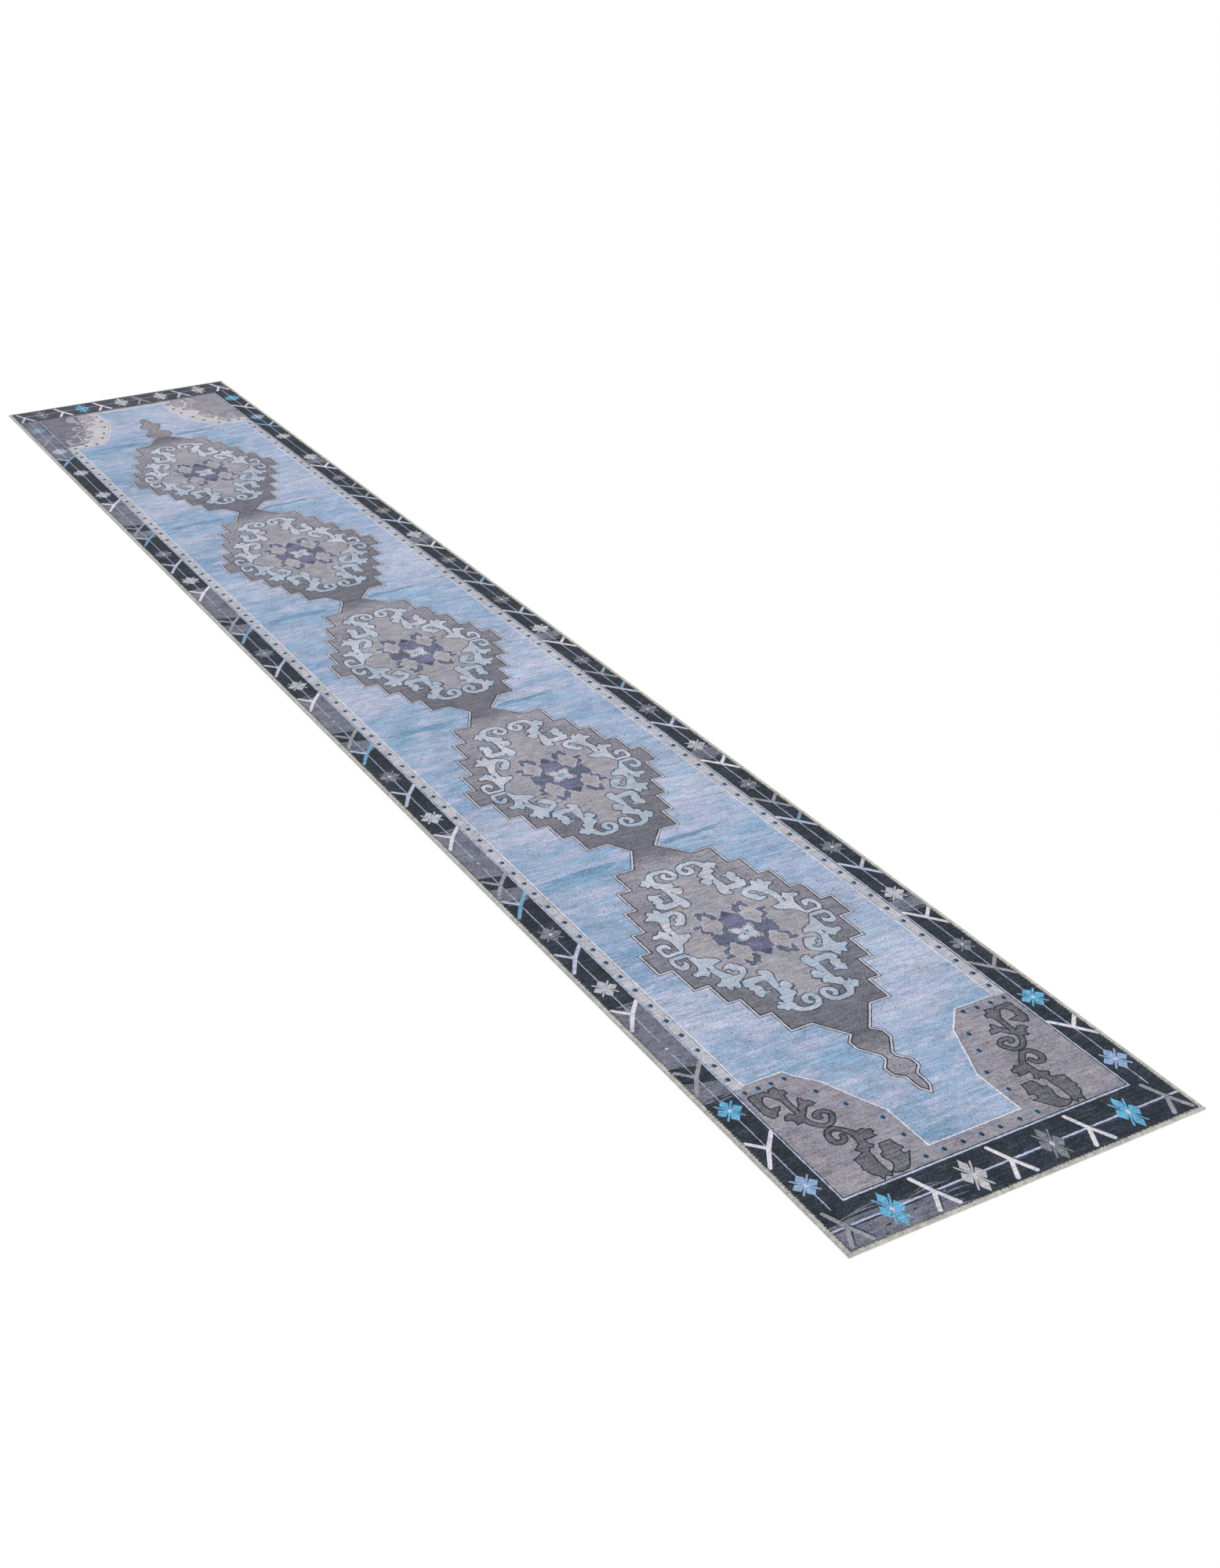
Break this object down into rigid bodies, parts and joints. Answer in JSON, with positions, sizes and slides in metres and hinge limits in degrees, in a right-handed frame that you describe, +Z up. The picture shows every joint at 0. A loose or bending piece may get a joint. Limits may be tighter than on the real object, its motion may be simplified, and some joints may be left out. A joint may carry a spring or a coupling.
{
  "type": "runner rug",
  "caption": "Long narrow flat runner rug: printed medallion face cloth on a woven backing, with overcast yarn edges on all sides.",
  "frame": {"origin": "centre of the underside, on the floor", "axes": "+X across the width, +Y along the length, +Z up out of the printed face"},
  "size_m": [0.762, 4.8768, 0.005],
  "materials": {
    "face_print": "printed low ribbed cloth, matte",
    "bond": "dried latex film",
    "backing": "plain woven natural cloth, matte",
    "edge_yarn": "soft spun yarn, matte",
    "needle_thread": "fine sewing thread"
  },
  "bodies": {
    "root": {"face_cloth": "face_print", "bond_coat": "bond", "backing_cloth": "backing", "edge_yarn_left": "edge_yarn", "edge_yarn_right": "edge_yarn", "edge_yarn_near": "edge_yarn", "edge_yarn_far": "edge_yarn", "needle_thread_left": "needle_thread", "needle_thread_right": "needle_thread", "needle_thread_near": "needle_thread", "needle_thread_far": "needle_thread"}
  },
  "joints": []
}
